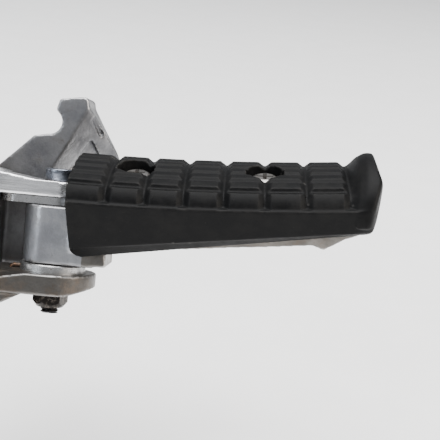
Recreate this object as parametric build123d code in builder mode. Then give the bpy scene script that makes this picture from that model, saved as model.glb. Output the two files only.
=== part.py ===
"""Folding motorcycle foot peg on its cast hanger, all sizes in millimetres.

Frame: +X points outboard, away from the motorcycle, +Y points forward and +Z points up.
The origin is the middle of the two frame bolts, on the hanger's mating face.
The pivot pin passes above the origin line and leans forward at its top, so the peg
folds back and up about it.
"""
import os
from math import asin, atan, cos, degrees, radians, sin, sqrt, tan

from build123d import *

# ---------------------------------------------------------------- frame mounting
bolt_spacing = 68.0          # between the two frame bolts, along Z
bolt_hole_radius = 4.3       # clearance hole for an M8 bolt
bolt_boss_radius = 13.0
flange_thickness = 8.0
flange_middle_radius = 20.0
flange_lobe_radius = 15.0    # forward lobe that carries the arm
flange_lobe_y = 30.0
flange_lobe_z = -5.0

# ---------------------------------------------------------------- pivot
pivot_reach = 36.0           # mating face to pin axis
pin_tilt = 18.75             # lean of the pin, top end forward, in degrees
pin_radius = 3.0             # M6 pivot bolt
pin_hole_clearance = 0.1

lower_ear_top = -9.0         # heights along the pin
ear_gap = 24.0               # between the two ears
upper_ear_thickness = 5.2
lower_ear_thickness = 6.7
upper_ear_half_width = 5.7
lower_ear_radius = 14.2

sleeve_radius = 4.5
sleeve_wall = 1.45
running_clearance = 0.05     # knuckle on sleeve, radial
face_clearance = 0.3         # between faces that slide past each other
washer_thickness = 2.5
washer_radius = 10.6
plate_thickness = 2.4
plate_reach = 18.2           # pin axis to the plate's inboard end

bolt_head_radius = 4.9
bolt_head_height = 4.0
bolt_socket_flats = 4.0
bolt_socket_depth = 2.2
bolt_end_below_nut = 2.0
nut_flats = 10.0
nut_height = 5.2
nut_corner_radius = 5.7
nut_dome = 1.8               # height of the nut's rounded lower end

# ---------------------------------------------------------------- clevis and arm
root_wall_gap = 19.0         # pin axis to the clevis's wall
ear_end_rise = 2.6           # lower ear thins towards its end
scoop_middle = -22.0         # scoop in the lower ear's rear edge
scoop_side = 14.0
scoop_lift = 5.1
scoop_radius = 8.3
scoop_rise = 12.0            # degrees, so that it runs out before the washer
stop_gap = 11.5              # pin axis to the stop block's face
stop_block_near = 7.2        # stop block's rear face, ahead of the pin
stop_block_far = 22.0        # stop block's front face, inside the arm
root_front = 13.0            # clevis root's front face, ahead of the pin
arm_near = 20.0              # the arm's rear face, ahead of the pin
arm_depth = 17.0
arm_pocket_depth = 1.8
arm_slot_depth = 1.2

# ---------------------------------------------------------------- return spring
wire_radius = 0.7
coil_radius = 5.85
coil_turns = 5.0
coil_pitch = 1.5
spring_leg_reach = 13.6      # pin axis to the fixed leg's hole
spring_hole_radius = 0.95
spring_hole_depth = 5.0
spring_leg_depth = 3.6
spring_room_radius = 7.1     # counterbore in the knuckle
spring_room_depth = 10.2

# ---------------------------------------------------------------- step bar
knuckle_radius = 10.0
knuckle_half_width = 9.2
heel_length = 18.2           # pin axis to the end of the heel below the rubber
heel_drop = 0.5              # heel's lower face above the knuckle's lower face
bar_start = 6.5              # pin axis to the bar's inboard face
bar_end = 97.0
bar_top_half_width = 15.6
bar_side_slope = 10.5        # degrees from upright
deck_drop = 3.6              # bar's deck below the ledge line, at the pin
deck_slope = degrees(atan(0.0675))
bar_bottom_start = -19.6     # bar's lower line, from the ledge line
bar_bottom_slope = 0.146
bar_lug_start = bar_end - 14.4
bar_lug_peak = bar_end - 11.4
bar_lug_height = 1.1

# ---------------------------------------------------------------- rubber
tread_y = 2.6                # tread's centre line ahead of the pin line
ledge_height = 21.55         # ledge line above the pin's reference point
sag_radius = 785.0           # the tread dips along its length
rubber_start_top = 5.9       # pin axis to the rubber's inboard end
rubber_start_bottom = 7.3
tread_half_width = 18.5
crown_height = 6.6
crown_radius = 57.0
shoulder_radius = 7.0
ledge_half_width = 19.6
ledge_edge_radius = 0.6
skirt_slope = 12.0           # degrees from upright, leaning in towards the bottom
crease_start = -18.2         # crease line below the ledge line, at the pin
crease_slope = 0.168
crease_step = 0.35
bottom_start = -23.05        # rubber's lowest line below the ledge line, at the pin
bottom_slope = 0.199
bottom_roll_in = 2.6         # how far the sides roll in below the crease
first_groove = 17.68         # pin axis to the first cross groove
first_pitch = 11.81
pitch_growth = 0.24
groove_count = 7
groove_depth = 1.7
groove_half_width = 2.0
rib_groove_places = (2.8, 8.1, 13.7)
rib_groove_half_width = 1.35
rib_groove_depth = 0.95
rib_shoulder_lean = radians(32)
rib_shoulder_drop = 0.25     # outer grooves sit this far below the crown's curve
neck_margin = 0.3            # cross grooves' cutter starts this far outside the tread
lip_top = 17.4               # lip above the ledge line's start
lip_front = 94.6
lip_rise = 97.0
lip_peak = 100.0
lip_tip = 102.9
lip_end_sag = 4.4            # how far the rounded end falls back at its corners
lip_corner = 5.0
lip_crown_radius = 24.0
lip_shoulder_radius = 14.0
lip_crest = 97.6             # where the end's curve meets the lip's top
tip_bottom = 99.4
screw_well_radius = 6.1

# ---------------------------------------------------------------- rubber's fixings
insert_thickness = 1.5
insert_half_width = 12.5
insert_start = 11.0
insert_end = bar_end - 7.0
inner_screw = 25.6           # pin axis to the screws, along the deck
outer_screw = 66.4
screw_radius = 2.5           # M5
screw_length = 14.0
screw_clearance = 0.05
screw_head_radius = 4.75
screw_head_height = 3.6
collar_radius = 5.6
collar_thickness = 1.4
insert_hole_clearance = 0.25

# ---------------------------------------------------------------- worked-out values
tilt = radians(pin_tilt)
pin_direction = Vector(0, sin(tilt), cos(tilt))
rear_direction = Vector(0, -cos(tilt), sin(tilt))
upper_ear_bottom = lower_ear_top + ear_gap
upper_ear_top = upper_ear_bottom + upper_ear_thickness
lower_ear_bottom = lower_ear_top - lower_ear_thickness
washer_top = lower_ear_top + washer_thickness
knuckle_bottom = washer_top + face_clearance
plate_bottom = upper_ear_bottom - plate_thickness
knuckle_top = plate_bottom - face_clearance
nut_bottom = lower_ear_bottom - nut_height
bolt_end = nut_bottom - bolt_end_below_nut
pin_hole_radius = pin_radius + pin_hole_clearance
deck_angle = radians(deck_slope)
far_outside = 80.0           # beyond every face, for cutters


def pin_plane(height=0.0):
    """Plane square to the pin, its X outboard and its Y forward."""
    return Plane(
        origin=Vector(pivot_reach, 0, 0) + pin_direction * height,
        x_dir=(1, 0, 0),
        z_dir=tuple(pin_direction),
    )


def side_plane(rearward=0.0):
    """Plane that holds the pin, its X outboard and its Y up along the pin."""
    return Plane(
        origin=Vector(pivot_reach, 0, 0) + rear_direction * rearward,
        x_dir=(1, 0, 0),
        z_dir=tuple(rear_direction),
    )


def in_space(along, height, rearward):
    """Point given by distance from the pin, height along it and distance to the rear."""
    base = Vector(pivot_reach + along, 0, 0)
    return base + pin_direction * height + rear_direction * rearward


def ledge_rise(x):
    """Height of the ledge line above its start, at a distance from the pin."""
    return sag_radius - sqrt(sag_radius**2 - x**2)


def station(x):
    """Plane square to the tread's line at a distance from the pin, its X forward."""
    angle = asin(x / sag_radius)
    return Plane(
        origin=(pivot_reach + x, tread_y, ledge_height + ledge_rise(x)),
        x_dir=(0, 1, 0),
        z_dir=(cos(angle), 0, sin(angle)),
    )


def cross_plane(x):
    """Upright plane across the peg at a distance from the pin, its X forward."""
    return Plane(origin=(pivot_reach + x, tread_y, ledge_height), x_dir=(0, 1, 0), z_dir=(1, 0, 0))


def peg_side():
    """Upright plane along the peg's middle, X from the pin axis, Y from the ledge line."""
    return Plane(origin=(pivot_reach, tread_y, ledge_height), x_dir=(1, 0, 0), z_dir=(0, -1, 0))


def deck_plane(along=0.0, height=0.0):
    """Plane on the bar's deck, square to the rubber's screws."""
    up = Vector(-sin(deck_angle), 0, cos(deck_angle))
    base = Vector(pivot_reach + along, tread_y, ledge_height - deck_drop + along * tan(deck_angle))
    return Plane(origin=base + up * height, x_dir=(cos(deck_angle), 0, sin(deck_angle)), z_dir=tuple(up))


rear_axis = Axis((pivot_reach, 0, 0), tuple(rear_direction))
pin_axis = Axis((pivot_reach, 0, 0), tuple(pin_direction))


def arch(half_width, top, crown, shoulder, base):
    """Sketch of a crowned section: flat base, upright sides, round shoulders, shallow crown."""
    middle = half_width - shoulder
    crown_centre = top - crown
    shoulder_centre = crown_centre + sqrt((crown - shoulder) ** 2 - middle**2)
    lean = asin(middle / (crown - shoulder))
    touch = (crown * sin(lean), crown_centre + crown * cos(lean))
    half = (radians(90) - lean) / 2
    bulge = (middle + shoulder * cos(half), shoulder_centre + shoulder * sin(half))
    with BuildSketch() as section:
        with BuildLine():
            Polyline(
                (half_width, shoulder_centre), (half_width, base),
                (-half_width, base), (-half_width, shoulder_centre),
            )
            ThreePointArc((-half_width, shoulder_centre), (-bulge[0], bulge[1]), (-touch[0], touch[1]))
            ThreePointArc((-touch[0], touch[1]), (0, top), touch)
            ThreePointArc(touch, bulge, (half_width, shoulder_centre))
        make_face()
    return section.sketch


def tread_outline(inset=0.0, base=-2.6):
    """Sketch of the tread's cross-section above the ledge, moved in by an inset."""
    return arch(tread_half_width - inset, crown_height - inset, crown_radius - inset, shoulder_radius - inset, base)


# ================================================================ arm of the hanger
arm_top_corner = in_space(4.2, 46.0, -arm_near)
arm_low_corner = in_space(-7.3, 23.5, -arm_near)
arm_far_corner = in_space(13.4, 30.9, -arm_near - 14.0)
arm_edge = (arm_top_corner - arm_low_corner).normalized()
arm_normal = (arm_far_corner - arm_low_corner).cross(arm_edge).normalized()
slant_plane = Plane(origin=arm_top_corner, x_dir=tuple(arm_edge), z_dir=tuple(arm_normal))

with BuildPart() as arm:
    with BuildSketch(side_plane(-arm_near)):
        with BuildLine():
            Polyline(
                (-7.3, 44.0), (-6.3, 48.1), (3.4, 49.6), (4.2, 46.0), (13.4, 30.9), (15.4, 26.2),
                (8.0, 18.5), (-pivot_reach, -4.0), (-pivot_reach, 13.0), (-14.1, 34.7), (-9.6, 35.6),
            )
            ThreePointArc((-9.6, 35.6), (-5.0, 39.1), (-7.3, 44.0))
        make_face()
    extrude(amount=-arm_depth)
    split(bisect_by=slant_plane, keep=Keep.BOTTOM)
    fillet(arm.edges().filter_by(rear_axis).sort_by(Axis.Z)[-2:], radius=1.6)
    with BuildSketch(slant_plane):
        with BuildLine():
            Polyline((-8.9, -7.8), (-24.0, -6.5), (-15.5, -19.0), close=True)
        make_face()
        fillet(vertices(), radius=1.2)
    extrude(amount=-arm_pocket_depth, mode=Mode.SUBTRACT)
    with BuildSketch(slant_plane):
        with Locations((-4.3, -7.6)):
            SlotOverall(8.4, 2.0, rotation=60)
    extrude(amount=-arm_slot_depth, mode=Mode.SUBTRACT)

# ================================================================ hanger casting
with BuildPart() as hanger:
    with BuildSketch(Plane.YZ):
        with GridLocations(0, bolt_spacing, 1, 2):
            Circle(bolt_boss_radius)
        with Locations((flange_lobe_y, flange_lobe_z)):
            Circle(flange_lobe_radius)
        Circle(flange_middle_radius)
        make_hull()
    extrude(amount=flange_thickness)

    # clevis root, from the flange to the wall behind the knuckle
    with BuildSketch(side_plane(upper_ear_half_width)):
        with BuildLine():
            Polyline(
                (-pivot_reach, upper_ear_top + 5.0), (-18.0, upper_ear_top + 1.6),
                (-root_wall_gap, upper_ear_top + 1.5), (-root_wall_gap, lower_ear_top - 3.0),
                (-root_wall_gap, -19.5), (-pivot_reach, -24.0), close=True,
            )
        make_face()
    extrude(amount=-(upper_ear_half_width + root_front))

    # upper ear, round about the pin at its end
    with BuildSketch(side_plane()):
        with BuildLine():
            Polyline(
                (-root_wall_gap - 4.0, upper_ear_bottom), (upper_ear_half_width + 1.0, upper_ear_bottom),
                (upper_ear_half_width + 1.0, upper_ear_top), (-5.5, upper_ear_top),
                (-18.0, upper_ear_top + 1.6), (-root_wall_gap - 4.0, upper_ear_top + 1.9), close=True,
            )
        make_face()
    extrude(amount=upper_ear_half_width, both=True)
    with BuildSketch(pin_plane(upper_ear_bottom - 1.0)):
        with Locations((upper_ear_half_width, 0)):
            Rectangle(2 * upper_ear_half_width, 2 * upper_ear_half_width + 4.0)
        Circle(upper_ear_half_width, mode=Mode.SUBTRACT)
    extrude(amount=upper_ear_thickness + 2.0, mode=Mode.SUBTRACT)

    # lower ear
    with BuildSketch(pin_plane(lower_ear_top)):
        Circle(lower_ear_radius)
        with Locations((-root_wall_gap / 2 - 2.0, -1.0)):
            Rectangle(root_wall_gap + 4.0, 2 * lower_ear_radius - 2.0)
    extrude(amount=-lower_ear_thickness)
    with BuildSketch(side_plane(lower_ear_radius - 2.0)):
        with BuildLine():
            Polyline(
                (-6.8, lower_ear_bottom + 2.0), (-6.8, lower_ear_bottom), (-15.0, lower_ear_bottom - 4.6),
                (-pivot_reach, lower_ear_bottom - 10.4), (-pivot_reach, lower_ear_top - 2.0),
                (-root_wall_gap, lower_ear_top - 2.0), (-root_wall_gap, lower_ear_bottom + 2.0), close=True,
            )
        make_face()
    extrude(amount=-2 * (lower_ear_radius - 2.0))

    with BuildSketch(side_plane(far_outside)):
        with BuildLine():
            Polyline(
                (6.4, lower_ear_bottom), (lower_ear_radius + 1.0, lower_ear_bottom + ear_end_rise),
                (lower_ear_radius + 1.0, lower_ear_bottom - 2.0), (6.4, lower_ear_bottom - 2.0), close=True,
            )
        make_face()
    extrude(amount=-2 * far_outside, mode=Mode.SUBTRACT)
    with Locations(pin_plane(lower_ear_top + scoop_lift)):
        with Locations((scoop_middle, -scoop_side)):
            Cylinder(scoop_radius, 40.0, rotation=(0, 90 - scoop_rise, 0), mode=Mode.SUBTRACT)

    # stop block ahead of the knuckle
    with BuildSketch(side_plane(-stop_block_near)):
        with BuildLine():
            Polyline(
                (-stop_gap, lower_ear_top - 1.0), (-stop_gap, upper_ear_bottom + 1.0),
                (-pivot_reach, upper_ear_bottom + 1.0), (-pivot_reach, lower_ear_top - 1.0), close=True,
            )
        make_face()
    extrude(amount=-(stop_block_far - stop_block_near))
    add(arm.part)

    # machined holes
    with Locations(pin_plane(upper_ear_top + 4.0)):
        Hole(pin_hole_radius, depth=upper_ear_top - lower_ear_bottom + 8.0)
    with Locations(pin_plane(lower_ear_top)):
        with Locations((-spring_leg_reach, 0)):
            Hole(spring_hole_radius, depth=spring_hole_depth)
    with Locations(Plane.YZ.offset(flange_thickness)):
        with GridLocations(0, bolt_spacing, 1, 2):
            Hole(bolt_hole_radius, depth=flange_thickness)
hanger.part.label = "hanger"

# ================================================================ pivot hardware
with BuildPart() as upper_thrust_plate:
    with BuildSketch(pin_plane(plate_bottom)):
        with Locations(((upper_ear_half_width - plate_reach) / 2, 0)):
            SlotOverall(plate_reach + upper_ear_half_width, 2 * upper_ear_half_width)
        Circle(pin_hole_radius, mode=Mode.SUBTRACT)
    extrude(amount=plate_thickness)
upper_thrust_plate.part.label = "upper_thrust_plate"

with BuildPart() as lower_thrust_washer:
    with BuildSketch(pin_plane(lower_ear_top)):
        Circle(washer_radius)
        Circle(sleeve_radius + running_clearance, mode=Mode.SUBTRACT)
        with Locations((-washer_radius, 0)):
            Rectangle(2 * (washer_radius - coil_radius + 1.6), 2 * wire_radius + 0.6, mode=Mode.SUBTRACT)
    extrude(amount=washer_thickness)
    chamfer(lower_thrust_washer.faces().sort_by(Axis.Z)[-1].outer_wire().edges(), length=0.3)
lower_thrust_washer.part.label = "lower_thrust_washer"

with BuildPart() as pivot_sleeve:
    with BuildSketch(pin_plane(lower_ear_top)):
        Circle(sleeve_radius)
        Circle(sleeve_radius - sleeve_wall, mode=Mode.SUBTRACT)
    extrude(amount=ear_gap - plate_thickness)
pivot_sleeve.part.label = "pivot_sleeve"

with BuildPart() as pivot_bolt:
    with BuildSketch(pin_plane(upper_ear_top)):
        Circle(bolt_head_radius)
    extrude(amount=bolt_head_height)
    fillet(pivot_bolt.edges().sort_by(Axis.Z)[-1], radius=0.5)
    with BuildSketch(pin_plane(upper_ear_top + bolt_head_height)):
        RegularPolygon(bolt_socket_flats / 2, 6, major_radius=False)
    extrude(amount=-bolt_socket_depth, mode=Mode.SUBTRACT)
    with BuildSketch(pin_plane(upper_ear_top)):
        Circle(pin_radius)
    extrude(amount=bolt_end - upper_ear_top)
    chamfer(pivot_bolt.edges().sort_by(Axis.Z)[0], length=0.6)
pivot_bolt.part.label = "pivot_bolt"

with BuildPart() as pivot_nut:
    with BuildSketch(pin_plane(lower_ear_bottom)):
        RegularPolygon(nut_flats / 2, 6, major_radius=False, rotation=12)
    extrude(amount=-nut_height)
    with BuildSketch(side_plane()):
        with BuildLine():
            Polyline(
                (0, lower_ear_bottom), (nut_corner_radius, lower_ear_bottom),
                (nut_corner_radius, nut_bottom + nut_dome), (nut_flats * 0.43, nut_bottom),
                (0, nut_bottom), close=True,
            )
        make_face()
    revolve(axis=pin_axis, mode=Mode.INTERSECT)
    with Locations(pin_plane(lower_ear_bottom)):
        Hole(pin_radius, depth=nut_height)
pivot_nut.part.label = "pivot_nut"

# ================================================================ return spring
coil_bottom = knuckle_bottom + wire_radius + 0.5
leg_drop = coil_bottom - (lower_ear_top + wire_radius)
coil_height = coil_turns * coil_pitch

# wound upright on its own axis, its ends both on one side
with BuildPart() as wound_spring:
    with BuildLine() as coil_path:
        Helix(coil_pitch, coil_height, coil_radius)
    with BuildSketch(Plane(origin=coil_path.line @ 0, z_dir=coil_path.line % 0)):
        Circle(wire_radius)
    sweep(path=coil_path.line, is_frenet=True)
    with BuildLine() as fixed_leg:
        FilletPolyline(
            (coil_radius, 0, 0), (coil_radius, 0, -leg_drop), (spring_leg_reach, 0, -leg_drop),
            (spring_leg_reach, 0, -leg_drop - spring_leg_depth), radius=1.1,
        )
    with BuildSketch(Plane(origin=(coil_radius, 0, 0), z_dir=(0, 0, -1))):
        Circle(wire_radius)
    sweep(path=fixed_leg.line)
    with BuildSketch(Plane.XY.offset(coil_height)):
        with Locations((coil_radius, 0)):
            Circle(wire_radius)
    extrude(amount=spring_leg_depth)
    with Locations((coil_radius, 0, 0), (coil_radius, 0, coil_height)):
        Sphere(wire_radius)
coil_seat = pin_plane(coil_bottom)
with BuildPart() as return_spring:
    add(coil_seat.location * Rot(0, 0, 180) * wound_spring.part)
return_spring.part.label = "return_spring"

# ================================================================ step bar
bar_deck_end = -deck_drop + bar_end * tan(deck_angle)
bar_lug_base = bar_bottom_start + (bar_lug_start - 12.0) * bar_bottom_slope


def bar_block(start):
    """Tapered bar under the rubber from a distance from the pin, without its knuckle."""
    lean = tan(radians(bar_side_slope))
    low_depth = 24.0
    with BuildPart() as block:
        with BuildSketch(peg_side()):
            with BuildLine():
                Polyline(
                    (start, -deck_drop + start * tan(deck_angle)), (bar_end, bar_deck_end),
                    (bar_end, -3.6), (bar_end - 5.0, -6.1), (bar_end - 7.5, -8.0),
                    (bar_lug_peak + 0.8, bar_lug_base - bar_lug_height),
                    (bar_lug_peak, bar_lug_base - bar_lug_height), (bar_lug_start, bar_lug_base),
                    (start, bar_bottom_start - (12.0 - start) * bar_bottom_slope), close=True,
                )
            make_face()
        extrude(amount=bar_top_half_width + 2.0, both=True)
        with BuildSketch(cross_plane(start - 1.0)):
            with BuildLine():
                Polyline(
                    (bar_top_half_width + 8.0 * lean, 8.0),
                    (bar_top_half_width - low_depth * lean, -low_depth),
                    (-bar_top_half_width + low_depth * lean, -low_depth),
                    (-bar_top_half_width - 8.0 * lean, 8.0), close=True,
                )
            make_face()
        extrude(amount=bar_end + 10.0, mode=Mode.INTERSECT)
    return block.part


with BuildPart() as step_bar:
    add(bar_block(bar_start))
    with BuildSketch(pin_plane(knuckle_bottom)):
        with BuildLine():
            Polyline(
                (14.0, -knuckle_half_width),
                (-sqrt(knuckle_radius**2 - knuckle_half_width**2), -knuckle_half_width),
            )
            ThreePointArc(
                (-sqrt(knuckle_radius**2 - knuckle_half_width**2), -knuckle_half_width),
                (-knuckle_radius * cos(radians(30)), -knuckle_radius * sin(radians(30))),
                (-knuckle_radius, 0),
            )
            Polyline(
                (-knuckle_radius, 0), (-stop_gap + face_clearance, stop_block_near + 1.0),
                (-stop_gap + face_clearance, knuckle_half_width), (14.0, knuckle_half_width),
                (14.0, -knuckle_half_width),
            )
        make_face()
    extrude(amount=knuckle_top - knuckle_bottom)
    with BuildSketch(pin_plane(knuckle_bottom + heel_drop)):
        with Locations((heel_length / 2, 0)):
            Rectangle(heel_length, 2 * knuckle_half_width)
    extrude(amount=9.0, taper=4)
    with Locations(pin_plane(knuckle_top)):
        Hole(sleeve_radius + running_clearance, depth=knuckle_top - knuckle_bottom + 1.0)
    with BuildSketch(pin_plane(knuckle_bottom)):
        Circle(spring_room_radius)
    extrude(amount=spring_room_depth, mode=Mode.SUBTRACT)
    with BuildSketch(pin_plane(knuckle_bottom + spring_room_depth)):
        with Locations((-coil_radius, 0)):
            Circle(spring_hole_radius)
    extrude(amount=spring_leg_depth, mode=Mode.SUBTRACT)
    with Locations(deck_plane(inner_screw), deck_plane(outer_screw)):
        Hole(screw_radius + screw_clearance, depth=screw_length)
step_bar.part.label = "step_bar"

# ================================================================ rubber
groove_places = [
    first_groove + n * first_pitch + pitch_growth * n * (n - 1) / 2 for n in range(groove_count)
]
last_groove = groove_places[-1]
sag_axis = Axis((pivot_reach, 0, ledge_height + sag_radius), (0, -1, 0))

# crowned tread with its lengthwise grooves, turned about the centre of its long dip
with BuildPart() as tread:
    tread_start = rubber_start_top - 2.0
    with BuildSketch(station(tread_start)):
        add(tread_outline())
        for place in rib_groove_places:
            for side in (-1, 1):
                on_shoulder = place > tread_half_width - shoulder_radius
                lean = rib_shoulder_lean if on_shoulder else asin(place / crown_radius)
                height = crown_height - crown_radius + sqrt(crown_radius**2 - place**2)
                drop = rib_shoulder_drop if on_shoulder else 0.0
                with Locations((side * place, height - drop)):
                    Polygon(
                        (-rib_groove_half_width, 0.0), (-rib_groove_half_width, 1.5),
                        (rib_groove_half_width, 1.5), (rib_groove_half_width, 0.0),
                        (0, -rib_groove_depth),
                        rotation=-side * degrees(lean), align=None, mode=Mode.SUBTRACT,
                    )
    tread_arc = asin(last_groove / sag_radius) - asin(tread_start / sag_radius)
    revolve(axis=sag_axis, revolution_arc=degrees(tread_arc))

# cross grooves: a slab at each one, less a waisted copy of the tread
neck_reach = groove_half_width * (1 + neck_margin / groove_depth)
with BuildPart() as cross_grooves:
    for place in groove_places:
        with BuildSketch(station(place - neck_reach)):
            with Locations((0, 5.0)):
                Rectangle(2 * ledge_half_width + 10.0, 13.0)
        extrude(amount=2 * neck_reach)
    for place in groove_places:
        with BuildSketch(station(place - neck_reach)):
            add(tread_outline(-neck_margin))
        with BuildSketch(station(place)):
            add(tread_outline(groove_depth))
        with BuildSketch(station(place + neck_reach)):
            add(tread_outline(-neck_margin))
        loft(ruled=True, mode=Mode.SUBTRACT)

# raised lip, from the last groove's floor to the tip: place, top and shoulder of each section
lip_sections = [
    (lip_front, lip_top - 2.1, 11.0), (lip_rise, lip_top - 0.3, 13.5),
    (lip_peak, lip_top, lip_shoulder_radius), (lip_tip + 2.0, lip_top - 0.5, lip_shoulder_radius),
]


def lip_outline(place, top, shoulder):
    """Sketch of the lip's cross-section at a distance from the pin."""
    with BuildSketch(cross_plane(place)) as section:
        add(arch(ledge_half_width, top, lip_crown_radius, shoulder, 0.0))
    return section.sketch


with BuildPart() as lip:
    with BuildSketch(station(last_groove)) as lip_foot:
        add(tread_outline(groove_depth))
    loft([lip_foot.sketch, lip_outline(*lip_sections[0])], ruled=True)
    for near, far in zip(lip_sections, lip_sections[1:]):
        loft([lip_outline(*near), lip_outline(*far)], ruled=True)


def skirt_outline(x):
    """Sketch across the skirt at a distance from the pin, from above the ledge to below the rubber."""
    lean = tan(radians(skirt_slope))
    ledge = ledge_rise(x)
    crease = crease_start + crease_slope * x
    above = 3.0
    crease_y = ledge_half_width - (ledge - crease) * lean
    bottom = bottom_start + bottom_slope * x
    low = bottom - 1.0
    low_y = crease_y - crease_step - bottom_roll_in * (crease - low) / (crease - bottom)
    half = [
        (ledge_half_width + above * lean, ledge + above), (crease_y, crease),
        (crease_y - crease_step, crease - 0.1), (low_y, low),
    ]
    other = [(-y, z) for y, z in reversed(half)]
    with BuildSketch() as section:
        Polygon(*half, *other, align=None)
    return section.sketch


with BuildPart() as rubber_base:
    with BuildSketch(cross_plane(rubber_start_top - 3.0)):
        add(skirt_outline(rubber_start_top - 3.0))
    with BuildSketch(cross_plane(lip_tip + 1.0)):
        add(skirt_outline(lip_tip + 1.0))
    loft(ruled=True)
    with BuildSketch(peg_side()):
        with BuildLine():
            ThreePointArc((-10.0, ledge_rise(10.0)), (50.0, ledge_rise(50.0)), (110.0, ledge_rise(110.0)))
            Polyline((110.0, ledge_rise(110.0)), (110.0, 30.0), (-10.0, 30.0), (-10.0, ledge_rise(10.0)))
        make_face()
    extrude(amount=far_outside, both=True, mode=Mode.SUBTRACT)
    with BuildPart(mode=Mode.PRIVATE) as tip_base:
        add(rubber_base.part)
        split(bisect_by=cross_plane(lip_front), keep=Keep.TOP)
    fillet(rubber_base.edges().filter_by(GeomType.BSPLINE).sort_by(Axis.Z)[-2:], radius=ledge_edge_radius)

with BuildPart() as step_rubber:
    add(tread.part)
    add(cross_grooves.part, mode=Mode.SUBTRACT)
    add(rubber_base.part)
    add(tip_base.part)
    add(lip.part)
    with BuildSketch(peg_side()):
        with BuildLine():
            Polyline(
                (lip_crest, lip_top + 2.0), (rubber_start_top - 1.2, lip_top + 2.0),
                (rubber_start_bottom, bottom_start + bottom_slope * rubber_start_bottom),
                (tip_bottom, bottom_start + bottom_slope * tip_bottom), (tip_bottom + 1.8, 0.4),
            )
            Spline(
                (tip_bottom + 1.8, 0.4), (lip_tip, 7.5), (lip_crest + 2.8, 15.0), (lip_crest, lip_top + 2.0),
                tangents=((0.1, 1.0), (-0.5, 0.7)),
            )
        make_face()
        fillet(vertices().sort_by(Axis.Y)[0], radius=3.5)
        fillet(vertices().sort_by(Axis.X)[-2:-1], radius=2.5)
    extrude(amount=far_outside, both=True, mode=Mode.INTERSECT)
    end_corner = lip_tip - lip_end_sag
    with BuildSketch(Plane((pivot_reach, tread_y, ledge_height - 40.0))):
        with BuildLine():
            ThreePointArc(
                (end_corner, -ledge_half_width - 1), (lip_tip, 0), (end_corner, ledge_half_width + 1)
            )
            Polyline(
                (end_corner, ledge_half_width + 1), (-10, ledge_half_width + 1),
                (-10, -ledge_half_width - 1), (end_corner, -ledge_half_width - 1),
            )
        make_face()
        fillet(vertices().sort_by(Axis.X)[-2:], radius=lip_corner)
    extrude(amount=far_outside, mode=Mode.INTERSECT)
    # room for the bar, the insert plate and the screws
    add(bar_block(0.0), mode=Mode.SUBTRACT)
    add(step_bar.part, mode=Mode.SUBTRACT)
    with BuildSketch(deck_plane()):
        with Locations(((insert_start + insert_end) / 2, 0)):
            Rectangle(insert_end - insert_start, 2 * insert_half_width)
    extrude(amount=insert_thickness, mode=Mode.SUBTRACT)
    with Locations(deck_plane(inner_screw, insert_thickness), deck_plane(outer_screw, insert_thickness)):
        Cylinder(
            screw_well_radius, 20.0, align=(Align.CENTER, Align.CENTER, Align.MIN), mode=Mode.SUBTRACT
        )
step_rubber.part.label = "step_rubber"

with BuildPart() as rubber_insert:
    with BuildSketch(deck_plane()):
        with Locations(((insert_start + insert_end) / 2, 0)):
            Rectangle(insert_end - insert_start, 2 * insert_half_width)
        with Locations((inner_screw / cos(deck_angle), 0), (outer_screw / cos(deck_angle), 0)):
            Circle(screw_radius + insert_hole_clearance, mode=Mode.SUBTRACT)
    extrude(amount=insert_thickness)
rubber_insert.part.label = "rubber_insert"


def pan_screw(along):
    """Pan-head screw with a cross recess, standing on its collar at a distance from the pin."""
    seat = insert_thickness + collar_thickness
    with BuildPart() as screw:
        with BuildSketch(deck_plane(along, seat)):
            Circle(screw_head_radius)
        extrude(amount=screw_head_height)
        fillet(screw.edges().sort_by(Axis.Z)[-1], radius=screw_head_height * 0.62)
        with BuildSketch(deck_plane(along, seat + screw_head_height)):
            Rectangle(5.4, 1.25)
            Rectangle(1.25, 5.4)
        extrude(amount=-2.4, taper=12, mode=Mode.SUBTRACT)
        with BuildSketch(deck_plane(along, seat)):
            Circle(screw_radius)
        extrude(amount=-screw_length)
        chamfer(screw.edges().sort_by(Axis.Z)[0], length=0.5)
    return screw.part


def collar(along):
    """Flat collar between a screw's head and the insert plate."""
    with BuildPart() as ring:
        with BuildSketch(deck_plane(along, insert_thickness)):
            Circle(collar_radius)
            Circle(screw_radius + insert_hole_clearance, mode=Mode.SUBTRACT)
        extrude(amount=collar_thickness)
    return ring.part


inner_pad_screw = pan_screw(inner_screw)
outer_pad_screw = pan_screw(outer_screw)
inner_screw_collar = collar(inner_screw)
outer_screw_collar = collar(outer_screw)

# ================================================================ output
pieces = {
    "hanger": hanger.part,
    "upper_thrust_plate": upper_thrust_plate.part,
    "lower_thrust_washer": lower_thrust_washer.part,
    "pivot_sleeve": pivot_sleeve.part,
    "pivot_bolt": pivot_bolt.part,
    "pivot_nut": pivot_nut.part,
    "return_spring": return_spring.part,
    "step_bar": step_bar.part,
    "step_rubber": step_rubber.part,
    "rubber_insert": rubber_insert.part,
    "inner_pad_screw": inner_pad_screw,
    "outer_pad_screw": outer_pad_screw,
    "inner_screw_collar": inner_screw_collar,
    "outer_screw_collar": outer_screw_collar,
}
os.makedirs("parts", exist_ok=True)
for name, piece in pieces.items():
    piece.label = name
    export_step(piece, f"parts/{name}.step")
    print(name, round(piece.volume), len(piece.solids()), piece.is_valid)
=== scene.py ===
"""Looks of the folding foot peg and its cast hanger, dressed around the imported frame.

The frame is in metres: +X outboard, +Y forward, +Z up. The two castings and the rubber pad are
softened copies of their solids, so that their edges are round as cast and moulded ones are.
"""

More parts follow.
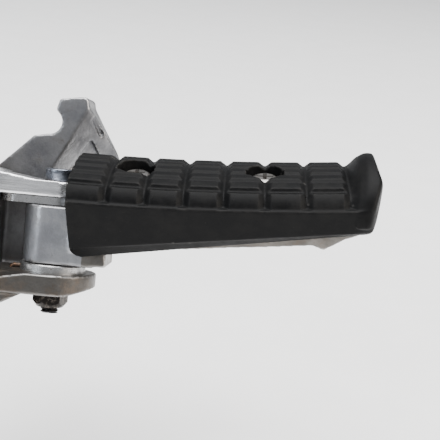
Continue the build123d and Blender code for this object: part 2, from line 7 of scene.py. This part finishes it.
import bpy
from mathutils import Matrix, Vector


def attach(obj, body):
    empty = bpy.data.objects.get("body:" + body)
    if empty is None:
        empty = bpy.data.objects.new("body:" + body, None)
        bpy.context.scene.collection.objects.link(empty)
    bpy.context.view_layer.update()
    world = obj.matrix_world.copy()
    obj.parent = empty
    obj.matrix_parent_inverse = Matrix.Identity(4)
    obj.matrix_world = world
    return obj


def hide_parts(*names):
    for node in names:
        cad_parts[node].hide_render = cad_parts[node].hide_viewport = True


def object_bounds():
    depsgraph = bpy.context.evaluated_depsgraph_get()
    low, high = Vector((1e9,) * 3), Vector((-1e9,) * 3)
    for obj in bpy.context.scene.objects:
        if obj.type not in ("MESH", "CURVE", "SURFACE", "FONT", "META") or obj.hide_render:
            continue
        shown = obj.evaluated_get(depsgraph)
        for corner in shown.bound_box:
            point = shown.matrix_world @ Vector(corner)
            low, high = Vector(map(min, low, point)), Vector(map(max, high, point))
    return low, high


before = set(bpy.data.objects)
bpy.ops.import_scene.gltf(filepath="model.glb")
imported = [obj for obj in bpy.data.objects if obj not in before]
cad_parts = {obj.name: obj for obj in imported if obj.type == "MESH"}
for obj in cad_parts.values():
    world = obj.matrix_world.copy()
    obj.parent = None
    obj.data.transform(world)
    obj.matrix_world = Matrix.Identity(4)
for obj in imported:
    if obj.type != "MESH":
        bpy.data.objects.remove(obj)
cad_box = [list(corner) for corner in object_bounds()]

import logging
import math
from dataclasses import dataclass, field
from enum import Enum
from typing import Sequence

import bmesh
import bpy
from mathutils import Matrix, Vector

log = logging.getLogger("foot_peg")
MM = 0.001
PIN_TILT = math.radians(18.75)
PIN_FOOT = Vector((0.036, 0.0, 0.0))
PIN_UP = Vector((0.0, math.sin(PIN_TILT), math.cos(PIN_TILT)))
PIN_REAR = Vector((0.0, -math.cos(PIN_TILT), math.sin(PIN_TILT)))
Colour = tuple[float, float, float]
MERGE_REACH = 0.004 * MM     # vertices closer than this are one
# Colour of the painted shade that darkens the hollows and gaps of cast aluminium.
PAINTED_SHADE = (0.045, 0.04, 0.035)


class Body(Enum):
    """The two rigid bodies that the pieces ride on."""

    HANGER = "hanger"
    STEP = "step"


# ------------------------------------------------------------------ materials
@dataclass(frozen=True)
class Pattern:
    """A fractal pattern: its fineness and the range that is spread over 0 to 1.

    The scale is in features per metre, detail counts the octaves, and rough is their strength.
    """

    scale: float
    detail: float = 4.0
    rough: float = 0.6
    low: float = 0.0
    high: float = 1.0


class Graph:
    """A material's node tree, with short calls for the nodes that the finishes share."""

    def __init__(self, name: str) -> None:
        """Starts an empty material with one Principled shader.

        Args:
            name: The material's name.
        """
        self.material = bpy.data.materials.new(name)
        self.material.use_nodes = True
        self.tree = self.material.node_tree
        self.shader = self.tree.nodes["Principled BSDF"]
        self.coords = self.tree.nodes.new("ShaderNodeTexCoord").outputs["Object"]

    def node(self, kind: str, **settings: object) -> bpy.types.Node:
        """Adds a node and sets its properties.

        Args:
            kind: Blender's name for the node type.
            **settings: Properties set on the node.

        Returns:
            The new node.
        """
        made = self.tree.nodes.new(kind)
        for key, value in settings.items():
            setattr(made, key, value)
        return made

    def feed(self, socket: bpy.types.NodeSocket, value: object) -> None:
        """Links a socket to an output, or sets its plain value.

        Args:
            socket: The input to fill.
            value: Another node's output, a number or a colour.
        """
        if isinstance(value, bpy.types.NodeSocket):
            self.tree.links.new(value, socket)
        else:
            socket.default_value = value

    def stretched(self, factors: Sequence[float]) -> bpy.types.NodeSocket:
        """Object coordinates scaled along each axis.

        Args:
            factors: Scale along each axis.

        Returns:
            The mapped coordinates.
        """
        scaled = self.node("ShaderNodeMapping")
        scaled.inputs["Scale"].default_value = tuple(factors)
        self.feed(scaled.inputs["Vector"], self.coords)
        return scaled.outputs["Vector"]

    def noise(self, pattern: Pattern, coords: object = None) -> bpy.types.NodeSocket:
        """Fractal noise from 0 to 1, not yet spread over its range.

        Args:
            pattern: The pattern's fineness.
            coords: Coordinates, or None for plain object coordinates.

        Returns:
            The noise factor.
        """
        made = self.node("ShaderNodeTexNoise")
        self.feed(made.inputs["Vector"], coords or self.coords)
        made.inputs["Scale"].default_value = pattern.scale
        made.inputs["Detail"].default_value = pattern.detail
        made.inputs["Roughness"].default_value = pattern.rough
        return made.outputs["Fac"]

    def ramp(self, value: object, low: float, high: float) -> bpy.types.NodeSocket:
        """Maps low..high to 0..1 with soft ends.

        Args:
            value: The input factor.
            low: Input that gives 0.
            high: Input that gives 1.

        Returns:
            The clamped result.
        """
        made = self.node("ShaderNodeMapRange", interpolation_type="SMOOTHSTEP")
        self.feed(made.inputs["Value"], value)
        made.inputs["From Min"].default_value = low
        made.inputs["From Max"].default_value = high
        return made.outputs["Result"]

    def patches(self, pattern: Pattern, coords: object = None) -> bpy.types.NodeSocket:
        """A pattern spread over its range, so that it falls into patches.

        Args:
            pattern: The pattern.
            coords: Coordinates, or None for plain object coordinates.

        Returns:
            The factor from 0 to 1.
        """
        return self.ramp(self.noise(pattern, coords), pattern.low, pattern.high)

    def share(self, factor: object, weight: float) -> bpy.types.NodeSocket:
        """Weakens a factor.

        Args:
            factor: The input factor.
            weight: The share of it that stays.

        Returns:
            The weaker factor.
        """
        return self.maths("MULTIPLY", factor, weight)

    def maths(self, operation: str, first: object, second: object = 0.0) -> bpy.types.NodeSocket:
        """One arithmetic step.

        Args:
            operation: Blender's name for the operation.
            first: First operand.
            second: Second operand.

        Returns:
            The result.
        """
        made = self.node("ShaderNodeMath", operation=operation)
        self.feed(made.inputs[0], first)
        self.feed(made.inputs[1], second)
        return made.outputs["Value"]

    def mix(self, factor: object, first: object, second: object) -> bpy.types.NodeSocket:
        """Mixes two colours.

        Args:
            factor: 0 for the first, 1 for the second.
            first: Colour triple or socket.
            second: Colour triple or socket.

        Returns:
            The mixed colour.
        """
        made = self.node("ShaderNodeMix", data_type="RGBA")
        self.feed(made.inputs[0], factor)
        for socket, value in ((made.inputs[6], first), (made.inputs[7], second)):
            self.feed(socket, value if isinstance(value, bpy.types.NodeSocket) else (*value, 1.0))
        return made.outputs[2]

    def blend(self, factor: object, first: float, second: float) -> bpy.types.NodeSocket:
        """Maps a 0..1 factor to first..second.

        Args:
            factor: The input factor.
            first: Value at 0.
            second: Value at 1.

        Returns:
            The blended number.
        """
        made = self.node("ShaderNodeMapRange")
        self.feed(made.inputs["Value"], factor)
        made.inputs["To Min"].default_value = first
        made.inputs["To Max"].default_value = second
        return made.outputs["Result"]

    def edges(self, low: float, high: float) -> bpy.types.NodeSocket:
        """How sharply the surface bends outwards, from 0 to 1.

        Args:
            low: Pointiness that gives 0.
            high: Pointiness that gives 1.

        Returns:
            The edge factor.
        """
        return self.ramp(self.node("ShaderNodeNewGeometry").outputs["Pointiness"], low, high)

    def hollows(self, reach: float, low: float, high: float) -> bpy.types.NodeSocket:
        """How deep a point lies in a corner or gap, from 0 to 1.

        Args:
            reach: How far off a wall still counts, in metres.
            low: Openness that gives 1.
            high: Openness that gives 0.

        Returns:
            The hollow factor.
        """
        made = self.node("ShaderNodeAmbientOcclusion", samples=8)
        made.inputs["Distance"].default_value = reach
        return self.ramp(made.outputs["AO"], high, low)

    def bump(self, height: object, depth: float, after: object = None) -> bpy.types.NodeSocket:
        """A bump of a given depth.

        Args:
            height: Height factor from 0 to 1.
            depth: Depth in metres.
            after: Another bump's output to build on.

        Returns:
            The bumped normal.
        """
        made = self.node("ShaderNodeBump")
        made.inputs["Distance"].default_value = depth
        self.feed(made.inputs["Height"], height)
        if after is not None:
            self.feed(made.inputs["Normal"], after)
        return made.outputs["Normal"]

    def finish(self, **sockets: object) -> bpy.types.Material:
        """Fills the shader's sockets.

        Args:
            **sockets: Socket names with underscores for spaces.

        Returns:
            The finished material.
        """
        for key, value in sockets.items():
            self.feed(self.shader.inputs[key.replace("_", " ")], value)
        return self.material


@dataclass(frozen=True)
class MouldedRubber:
    """Satin black rubber, dusty grey on its worn edges."""

    name: str = "moulded_rubber"
    black: Colour = (0.0018, 0.0018, 0.002)
    dusty: Colour = (0.006, 0.0058, 0.0057)
    worn: Colour = (0.036, 0.034, 0.032)
    roughness: tuple[float, float] = (0.5, 0.66)
    sheen: float = 0.09
    dust_pattern: Pattern = Pattern(160, 6, 0.65, 0.42, 0.72)
    wear_pattern: Pattern = Pattern(420, 4, 0.6, 0.28, 0.6)
    lint_pattern: Pattern = Pattern(1300, 5, 0.7, 0.64, 0.72)
    grain_pattern: Pattern = Pattern(5200, 3, 0.7)
    wave_pattern: Pattern = Pattern(240, 2)
    worn_bend: tuple[float, float] = (0.512, 0.58)
    groove_reach: float = 0.002
    groove_openness: tuple[float, float] = (0.35, 0.75)
    lint_weight: float = 0.35
    wear_weight: float = 0.75
    groove_weight: float = 0.5
    grain_depth: float = 0.03 * MM
    wave_depth: float = 0.1 * MM

    def build(self) -> bpy.types.Material:
        """Makes the material."""
        g = Graph(self.name)
        dust = g.patches(self.dust_pattern)
        wear = g.maths("MULTIPLY", g.edges(*self.worn_bend), g.patches(self.wear_pattern))
        lint = g.patches(self.lint_pattern)
        grooves = g.hollows(self.groove_reach, *self.groove_openness)
        colour = g.mix(g.share(lint, self.lint_weight), g.mix(dust, self.black, self.dusty), self.worn)
        colour = g.mix(g.share(wear, self.wear_weight), colour, self.worn)
        colour = g.mix(g.share(grooves, self.groove_weight), colour, self.dusty)
        grain = g.bump(g.noise(self.grain_pattern), self.grain_depth)
        waves = g.bump(g.noise(self.wave_pattern), self.wave_depth, grain)
        return g.finish(
            Base_Color=colour,
            Roughness=g.blend(dust, *self.roughness),
            Specular_IOR_Level=self.sheen,
            Normal=waves,
        )


@dataclass(frozen=True)
class CastAluminium:
    """Tumbled cast aluminium with grey film, brownish stains, brighter rubbed edges and painted shade
    darkening its hollows and gaps.
    """

    name: str
    bright: Colour = (0.225, 0.225, 0.23)
    film: Colour = (0.108, 0.11, 0.118)
    stain: Colour = (0.095, 0.075, 0.06)
    rubbed: Colour = (0.62, 0.62, 0.62)
    stain_start: float = 0.56
    stain_spread: float = 0.16
    roughness: tuple[float, float] = (0.3, 0.48)
    metal: tuple[float, float] = (0.9, 0.3)
    film_pattern: Pattern = Pattern(85, 7, 0.62, 0.34, 0.66)
    stain_pattern: Pattern = Pattern(150, 8, 0.72)
    pit_pattern: Pattern = Pattern(1500, 4, 0.7, 0.6, 0.72)
    skin_pattern: Pattern = Pattern(1900, 5, 0.65)
    dent_pattern: Pattern = Pattern(210, 3)
    rubbed_bend: tuple[float, float] = (0.515, 0.59)
    # How far the painted shade in hollows reaches, and how open a point must be to escape it.
    shade_reach: float = 0.012
    shade_openness: tuple[float, float] = (0.1, 0.75)
    stain_weight: float = 0.6
    pit_weight: float = 0.35
    rubbed_weight: float = 0.75
    # Strength of the painted shade in hollows.
    shade_weight: float = 0.75
    skin_depth: float = 0.05 * MM
    dent_depth: float = 0.25 * MM

    def build(self) -> bpy.types.Material:
        """Makes the material."""
        g = Graph(self.name)
        film = g.patches(self.film_pattern)
        stains = g.ramp(
            g.noise(self.stain_pattern), self.stain_start, self.stain_start + self.stain_spread
        )
        pits = g.patches(self.pit_pattern)
        # Painted shade: darkens hollows and gaps where shade falls, and makes them less metallic and
        # rougher.
        painted_shade = g.hollows(self.shade_reach, *self.shade_openness)
        colour = g.mix(film, self.bright, self.film)
        colour = g.mix(g.share(stains, self.stain_weight), colour, self.stain)
        colour = g.mix(g.share(pits, self.pit_weight), colour, self.stain)
        colour = g.mix(g.share(g.edges(*self.rubbed_bend), self.rubbed_weight), colour, self.rubbed)
        # Painted shade in hollows, mixed into the colour.
        colour = g.mix(g.share(painted_shade, self.shade_weight), colour, PAINTED_SHADE)
        skin = g.bump(g.noise(self.skin_pattern), self.skin_depth)
        dents = g.bump(g.noise(self.dent_pattern), self.dent_depth, skin)
        return g.finish(
            Base_Color=colour,
            Metallic=g.blend(painted_shade, *self.metal),
            Roughness=g.blend(g.maths("MAXIMUM", film, painted_shade), *self.roughness),
            Normal=dents,
        )


@dataclass(frozen=True)
class BrushedAluminium:
    """Machined aluminium with long streaks along one direction, darkened by painted shade in its hollows.
    """

    name: str
    bright: Colour = (0.95, 0.95, 0.96)
    streak: Colour = (0.42, 0.42, 0.43)
    # Colour of the painted shade in the hollows.
    painted_shade: Colour = (0.04, 0.035, 0.03)
    stretch: tuple[float, float, float] = (45.0, 900.0, 900.0)
    roughness: tuple[float, float] = (0.2, 0.36)
    metal: tuple[float, float] = (0.95, 0.4)
    streak_pattern: Pattern = Pattern(1.0, 6, 0.7, 0.36, 0.66)
    score_pattern: Pattern = Pattern(1.0, 4, 0.7)
    smear_pattern: Pattern = Pattern(120, 5, 0.6, 0.45, 0.72)
    # How far the painted shade in hollows reaches, and how open a point must be to escape it.
    shade_reach: float = 0.008
    shade_openness: tuple[float, float] = (0.1, 0.7)
    smear_weight: float = 0.5
    # Strength of the painted shade in hollows.
    shade_weight: float = 0.8
    score_depth: float = 0.08 * MM

    def build(self) -> bpy.types.Material:
        """Makes the material."""
        g = Graph(self.name)
        along = g.stretched(self.stretch)
        streaks = g.patches(self.streak_pattern, along)
        smear = g.patches(self.smear_pattern)
        # Painted shade: darkens hollows and gaps where shade falls, and makes them less metallic and
        # rougher.
        painted_shade = g.hollows(self.shade_reach, *self.shade_openness)
        colour = g.mix(streaks, self.bright, self.streak)
        colour = g.mix(g.share(smear, self.smear_weight), colour, self.streak)
        colour = g.mix(g.share(painted_shade, self.shade_weight), colour, self.painted_shade)
        scored = g.bump(g.noise(self.score_pattern, along), self.score_depth)
        return g.finish(
            Base_Color=colour,
            Metallic=g.blend(painted_shade, *self.metal),
            Roughness=g.blend(g.maths("MAXIMUM", streaks, painted_shade), *self.roughness),
            Normal=scored,
        )


@dataclass(frozen=True)
class PlatedSteel:
    """Plated steel with specks of dirt, dull patches and painted shade in its corners."""

    name: str
    plating: Colour = (0.45, 0.45, 0.45)
    dull: Colour = (0.22, 0.22, 0.22)
    # Colour of the dirt specks and of the painted shade in corners.
    dirt_and_shade: Colour = (0.05, 0.04, 0.032)
    dirt_start: float = 0.58
    dirt_spread: float = 0.12
    roughness: tuple[float, float] = (0.2, 0.45)
    metal: tuple[float, float] = (0.95, 0.3)
    dull_pattern: Pattern = Pattern(330, 6, 0.65, 0.35, 0.7)
    speck_pattern: Pattern = Pattern(900, 6, 0.7)
    skin_pattern: Pattern = Pattern(2600, 4, 0.6)
    # Painted shade in corners: its reach, the openness that escapes it, and its strength.
    corner_shade_reach: float = 0.004
    corner_shade_openness: tuple[float, float] = (0.1, 0.6)
    corner_shade_weight: float = 0.85
    skin_depth: float = 0.03 * MM

    def build(self) -> bpy.types.Material:
        """Makes the material."""
        g = Graph(self.name)
        dull = g.patches(self.dull_pattern)
        specks = g.ramp(g.noise(self.speck_pattern), self.dirt_start, self.dirt_start + self.dirt_spread)
        # Painted shade: darkens corners and gaps where shade falls.
        corner_shade = g.hollows(self.corner_shade_reach, *self.corner_shade_openness)
        # Real dirt specks together with the painted shade in corners.
        dirt_and_shade = g.maths("MAXIMUM", specks, g.share(corner_shade, self.corner_shade_weight))
        colour = g.mix(dirt_and_shade, g.mix(dull, self.plating, self.dull), self.dirt_and_shade)
        skin = g.bump(g.noise(self.skin_pattern), self.skin_depth)
        return g.finish(
            Base_Color=colour,
            Metallic=g.blend(dirt_and_shade, *self.metal),
            Roughness=g.blend(g.maths("MAXIMUM", dull, dirt_and_shade), *self.roughness),
            Normal=skin,
        )


# ------------------------------------------------------------------ modelling
def deselect() -> None:
    """Leaves object mode with nothing selected."""
    if bpy.context.object and bpy.context.object.mode != "OBJECT":
        bpy.ops.object.mode_set(mode="OBJECT")
    bpy.ops.object.select_all(action="DESELECT")


def pick(piece: bpy.types.Object) -> None:
    """Makes one object the only selected and active one.

    Args:
        piece: The object to pick.
    """
    deselect()
    piece.select_set(True)
    bpy.context.view_layer.objects.active = piece


def copy_of(node: str, name: str) -> bpy.types.Object:
    """Copies a solid's mesh to a new object, its loose triangles merged.

    Args:
        node: The solid's node name.
        name: Name of the new piece.

    Returns:
        The new object.
    """
    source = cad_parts[node]
    mesh = source.data.copy()
    mesh.name = name
    mesh.materials.clear()
    piece = bpy.data.objects.new(name, mesh)
    bpy.context.scene.collection.objects.link(piece)
    merged = bmesh.new()
    merged.from_mesh(mesh)
    bmesh.ops.remove_doubles(merged, verts=merged.verts, dist=MERGE_REACH)
    bmesh.ops.dissolve_degenerate(merged, edges=merged.edges, dist=MERGE_REACH)
    bmesh.ops.recalc_face_normals(merged, faces=merged.faces)
    merged.to_mesh(mesh)
    merged.free()
    return piece


def soften(piece: bpy.types.Object, grid: float, passes: int) -> None:
    """Rounds a piece's edges as a casting's or a moulding's are.

    Args:
        piece: The piece to round.
        grid: Size of the new faces in metres.
        passes: How often the surface is relaxed.
    """
    pick(piece)
    remesh = piece.modifiers.new("even_faces", "REMESH")
    remesh.mode = "VOXEL"
    remesh.voxel_size = grid
    bpy.ops.object.modifier_apply(modifier=remesh.name)
    relax = piece.modifiers.new("relax", "SMOOTH")
    relax.factor = 0.5
    relax.iterations = passes
    bpy.ops.object.modifier_apply(modifier=relax.name)
    bpy.ops.object.shade_smooth()


def round_beyond(piece: bpy.types.Object, start: float, full: float, passes: int) -> None:
    """Rounds a piece more strongly towards its outboard end.

    Args:
        piece: The piece to round.
        start: X in metres where the rounding fades in.
        full: X in metres from which it is at full strength.
        passes: How often the surface is relaxed there.
    """
    pick(piece)
    group = piece.vertex_groups.new(name="outboard_end")
    for vertex in piece.data.vertices:
        share = (vertex.co.x - start) / (full - start)
        if share > 0.0:
            group.add([vertex.index], min(share, 1.0), "REPLACE")
    relax = piece.modifiers.new("round_end", "SMOOTH")
    relax.factor = 0.5
    relax.iterations = passes
    relax.vertex_group = group.name
    bpy.ops.object.modifier_apply(modifier=relax.name)
    piece.vertex_groups.clear()


def thin(piece: bpy.types.Object, keep: float) -> None:
    """Thins out a piece's faces where it is nearly flat.

    Args:
        piece: The piece to thin out.
        keep: Share of the faces that stays.
    """
    pick(piece)
    fewer = piece.modifiers.new("fewer_faces", "DECIMATE")
    fewer.ratio = keep
    bpy.ops.object.modifier_apply(modifier=fewer.name)


def cut(piece: bpy.types.Object, point: Vector, away: Vector) -> None:
    """Cuts a piece flat and closes the cut.

    Args:
        piece: The piece to cut.
        point: A point on the cut.
        away: Direction of the side that goes.
    """
    pick(piece)
    bpy.ops.object.mode_set(mode="EDIT")
    bpy.ops.mesh.select_all(action="SELECT")
    bpy.ops.mesh.bisect(plane_co=point, plane_no=away, use_fill=True, clear_outer=True)
    bpy.ops.mesh.select_all(action="SELECT")
    bpy.ops.mesh.normals_make_consistent(inside=False)
    bpy.ops.object.mode_set(mode="OBJECT")


def dress(piece: bpy.types.Object, *materials: bpy.types.Material) -> None:
    """Gives a piece its materials in order of slot.

    Args:
        piece: The piece to dress.
        *materials: One material per slot.
    """
    piece.data.materials.clear()
    for material in materials:
        piece.data.materials.append(material)


def seat(piece: bpy.types.Object, body: Body, slot: str, *nodes: str) -> None:
    """Makes a piece ride on a body in place of some solids.

    Args:
        piece: The finished piece.
        body: The body it moves with.
        slot: Not used.
        *nodes: The solids that it stands for.
    """
    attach(piece, body.value)
    if nodes:
        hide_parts(*nodes)
    triangles = sum(len(face.vertices) - 2 for face in piece.data.polygons)
    log.info("%s: %d triangles on %s", piece.name, triangles, body.value)


@dataclass
class Hanger:
    """The cast bracket with its pivot hardware."""

    grid: float = 0.00055
    passes: int = 3
    ear_half_width: float = 0.0057
    ear_margin: float = 0.001
    ear_bottom: float = 0.0149
    lower_ear_top: float = -0.0088
    thread_top: float = -0.0208
    thread_length: float = 0.0021
    thread_start: float = 0.0012
    thread_root: float = 0.00245
    thread_crest: float = 0.00298
    thread_pitch: float = 0.001
    thread_turns: int = 5
    thread_steps: int = 40
    thread_merge: float = 0.00001
    sharp_angle: float = math.radians(32)
    finishes: dict[str, bpy.types.Material] = field(default_factory=dict)

    def mix_finishes(self) -> None:
        """Builds the finishes that the bracket and its hardware wear."""
        self.finishes = {
            "cast": CastAluminium("hanger_cast").build(),
            "stained": CastAluminium(
                "hanger_stained",
                bright=(0.105, 0.099, 0.092),
                film=(0.053, 0.049, 0.045),
                stain_start=0.44,
            ).build(),
            "ear": BrushedAluminium("ear_brushed").build(),
            "thrust": PlatedSteel("thrust_plating").build(),
            "bolt": PlatedSteel(
                "bolt_plating", (0.18, 0.195, 0.23), (0.11, 0.12, 0.14), dirt_start=0.66,
            ).build(),
            "nut": PlatedSteel(
                "nut_plating", (0.03, 0.027, 0.024), (0.016, 0.014, 0.013), dirt_start=0.5,
            ).build(),
            "thread": PlatedSteel("thread_plating", (0.035, 0.036, 0.038), (0.02, 0.02, 0.021)).build(),
            "spring": PlatedSteel(
                "spring_wire", (0.2, 0.13, 0.09), (0.13, 0.065, 0.035), dirt_start=0.5,
            ).build(),
        }

    def casting(self) -> None:
        """Softens the bracket, brushes its upper ear and stains its lower one."""
        piece = copy_of("hanger", "hanger_casting")
        soften(piece, self.grid, self.passes)
        ear_reach = self.ear_half_width + self.ear_margin
        dress(piece, self.finishes["cast"], self.finishes["ear"], self.finishes["stained"])
        for face in piece.data.polygons:
            place = face.center - PIN_FOOT
            height = place.dot(PIN_UP)
            if height > self.ear_bottom and abs(place.dot(PIN_REAR)) < ear_reach:
                face.material_index = 1
            elif height < self.lower_ear_top:
                face.material_index = 2
        seat(piece, Body.HANGER, "hanger_casting", "hanger")

    def bolt(self) -> None:
        """Cuts a real thread on the end of the pivot bolt that shows below the nut."""
        piece = copy_of("pivot_bolt", "pivot_bolt_threaded")
        cut(piece, PIN_FOOT + PIN_UP * self.thread_top, -PIN_UP)
        ridge = [
            (self.thread_root, 0.0, 0.0),
            (self.thread_crest, 0.0, 0.5 * self.thread_pitch),
            (self.thread_root, 0.0, self.thread_pitch),
        ]
        mesh = bpy.data.meshes.new("thread")
        mesh.from_pydata(ridge, [(0, 1), (1, 2)], [])
        thread = bpy.data.objects.new("thread", mesh)
        bpy.context.scene.collection.objects.link(thread)
        pick(thread)
        wind = thread.modifiers.new("wind", "SCREW")
        wind.screw_offset = self.thread_pitch
        wind.iterations = self.thread_turns
        wind.steps = self.thread_steps
        wind.render_steps = self.thread_steps
        wind.use_merge_vertices = True
        wind.merge_threshold = self.thread_merge
        bpy.ops.object.modifier_apply(modifier=wind.name)
        thread_end = self.thread_start + self.thread_length
        cut(thread, Vector((0, 0, self.thread_start)), Vector((0, 0, -1)))
        cut(thread, Vector((0, 0, thread_end)), Vector((0, 0, 1)))
        stand = PIN_UP.to_track_quat("Z", "Y").to_matrix().to_4x4()
        stand.translation = PIN_FOOT + PIN_UP * (self.thread_top - thread_end)
        thread.data.transform(stand)
        dress(piece, self.finishes["bolt"], self.finishes["thread"])
        dress(thread, self.finishes["bolt"], self.finishes["thread"])
        for face in thread.data.polygons:
            face.material_index = 1
        pick(piece)
        thread.select_set(True)
        bpy.ops.object.join()
        bpy.ops.object.shade_smooth_by_angle(angle=self.sharp_angle)
        seat(piece, Body.HANGER, "bolt_plating", "pivot_bolt")

    def hardware(self) -> None:
        """Dresses the solids that keep their own shape."""
        for node, finish in (
            ("upper_thrust_plate", "thrust"), ("lower_thrust_washer", "thrust"), ("pivot_sleeve", "thrust"),
            ("pivot_nut", "nut"), ("return_spring", "spring"),
        ):
            dress(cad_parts[node], self.finishes[finish])

    def build(self) -> None:
        """Builds the whole bracket."""
        self.mix_finishes()
        self.casting()
        self.bolt()
        self.hardware()


@dataclass
class Step:
    """The folding step: its bar, its rubber pad and the pad's fixings."""

    bar_grid: float = 0.0006
    bar_passes: int = 3
    knuckle_end: float = 0.0462
    rubber_grid: float = 0.00036
    rubber_passes: int = 2
    rubber_keep: float = 0.45
    lip_start: float = 0.13
    lip_full: float = 0.134
    lip_passes: int = 60
    finishes: dict[str, bpy.types.Material] = field(default_factory=dict)

    def mix_finishes(self) -> None:
        """Builds the finishes that the step wears."""
        self.finishes = {
            "bar": CastAluminium(
                "step_cast",
                bright=(0.34, 0.345, 0.36),
                film=(0.16, 0.163, 0.175),
                stain_start=0.54,
                # Stronger painted shade in the bar's hollows.
                shade_weight=0.8,
            ).build(),
            # Darker, browner copy of the cast finish for the bar under the rubber: brownish stain and
            # painted shade.
            "under": CastAluminium(
                "step_stain_and_shade",
                bright=(0.145, 0.137, 0.127),
                film=(0.082, 0.077, 0.071),
                stain_start=0.46,
            ).build(),
            "rubber": MouldedRubber().build(),
            "insert": PlatedSteel("insert_plating").build(),
            "screw": PlatedSteel(
                "screw_plating", (0.3, 0.288, 0.278), (0.17, 0.162, 0.153), dirt_start=0.54,
            ).build(),
        }

    def bar(self) -> None:
        """Softens the cast bar and gives all of it but the knuckle a darker, browner finish: brownish stain
        and painted shade under the rubber.
        """
        piece = copy_of("step_bar", "step_bar_casting")
        soften(piece, self.bar_grid, self.bar_passes)
        dress(piece, self.finishes["bar"], self.finishes["under"])
        for face in piece.data.polygons:
            # Outboard of the knuckle the bar lies under the rubber and gets the darker finish with painted
            # shade.
            if face.center.x > self.knuckle_end:
                face.material_index = 1
        seat(piece, Body.STEP, "step_casting", "step_bar")

    def rubber(self) -> None:
        """Softens the rubber pad, its lip most of all."""
        piece = copy_of("step_rubber", "rubber_pad")
        soften(piece, self.rubber_grid, self.rubber_passes)
        round_beyond(piece, self.lip_start, self.lip_full, self.lip_passes)
        thin(piece, self.rubber_keep)
        dress(piece, self.finishes["rubber"])
        seat(piece, Body.STEP, "pad_rubber", "step_rubber")

    def fixings(self) -> None:
        """Dresses the insert, the screws and their collars."""
        for node, finish in (
            ("rubber_insert", "insert"), ("inner_pad_screw", "screw"), ("outer_pad_screw", "screw"),
            ("inner_screw_collar", "insert"), ("outer_screw_collar", "insert"),
        ):
            dress(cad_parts[node], self.finishes[finish])

    def build(self) -> None:
        """Builds the whole step."""
        self.mix_finishes()
        self.bar()
        self.rubber()
        self.fixings()


@dataclass(frozen=True)
class Lamp:
    """One soft square lamp, its size in metres and its power in watts."""

    name: str
    place: tuple[float, float, float]
    size: float
    power: float
    tint: Colour = (1.0, 1.0, 1.0)


@dataclass
class Studio:
    """Pale floor, soft lights and the camera."""

    eye: tuple[float, float, float] = (0.09193, -0.27614, 0.12502)
    backward: tuple[float, float, float] = (0.00955, -0.92726, 0.37428)
    roll: float = math.radians(5.26)
    lens: float = 75.86
    sensor: float = 36.0
    nearest: float = 0.005
    floor_drop: float = 0.05
    floor_width: float = 12.0
    floor_greys: tuple[Colour, Colour] = ((0.86, 0.86, 0.86), (0.88, 0.88, 0.88))
    floor_pattern: Pattern = Pattern(30, 2, 0.6, 0.3, 0.7)
    floor_roughness: float = 0.9
    sky: Colour = (0.95, 0.97, 1.0)
    sky_strength: float = 0.55
    aim: tuple[float, float, float] = (0.07, 0.0, 0.01)
    lamps: tuple[Lamp, ...] = (
        Lamp("overhead", (0.05, 0.0, 1.3), 1.5, 60.0),
        Lamp("left_window", (-0.9, -0.7, 0.5), 0.6, 8.0, (0.86, 0.93, 1.0)),
        Lamp("right_lamp", (1.1, -0.35, 0.5), 0.5, 15.0, (1.0, 0.93, 0.84)),
    )

    def floor(self) -> None:
        """Lays the floor below the object."""
        low = cad_box[0][2] - self.floor_drop
        deselect()
        bpy.ops.mesh.primitive_plane_add(size=self.floor_width, location=(0, 0, low))
        plane = bpy.context.object
        plane.name = "floor"
        paper = Graph("floor_paper")
        greys = paper.mix(paper.patches(self.floor_pattern), *self.floor_greys)
        dress(plane, paper.finish(Base_Color=greys, Roughness=self.floor_roughness))

    def lights(self) -> None:
        """Hangs the soft lights."""
        world = bpy.data.worlds.new("studio_world")
        world.use_nodes = True
        backdrop = world.node_tree.nodes["Background"]
        backdrop.inputs["Color"].default_value = (*self.sky, 1.0)
        backdrop.inputs["Strength"].default_value = self.sky_strength
        bpy.context.scene.world = world
        for lamp in self.lamps:
            light = bpy.data.lights.new(lamp.name, "AREA")
            light.size = lamp.size
            light.energy = lamp.power
            light.color = lamp.tint
            holder = bpy.data.objects.new(lamp.name, light)
            bpy.context.scene.collection.objects.link(holder)
            towards = Vector(self.aim) - Vector(lamp.place)
            holder.location = lamp.place
            holder.rotation_euler = towards.to_track_quat("-Z", "Y").to_euler()

    def camera(self) -> None:
        """Sets the camera."""
        back = Vector(self.backward).normalized()
        level = (-back).cross(Vector((0, 0, 1))).normalized()
        upright = level.cross(-back)
        right = level * math.cos(self.roll) + upright * math.sin(self.roll)
        up = upright * math.cos(self.roll) - level * math.sin(self.roll)
        lens = bpy.data.cameras.new("camera")
        lens.lens = self.lens
        lens.sensor_width = self.sensor
        lens.clip_start = self.nearest
        holder = bpy.data.objects.new("camera", lens)
        bpy.context.scene.collection.objects.link(holder)
        turned = Matrix((right, up, back)).transposed().to_4x4()
        turned.translation = Vector(self.eye)
        holder.matrix_world = turned
        bpy.context.scene.camera = holder

    def build(self) -> None:
        """Builds the whole studio."""
        self.floor()
        self.lights()
        self.camera()


def main() -> None:
    """Builds every sub-assembly in order."""
    logging.basicConfig(level=logging.INFO)
    for assembly in (Studio(), Hanger(), Step()):
        assembly.build()
        log.info("%s built", type(assembly).__name__)


if __name__ == "__main__":
    main()
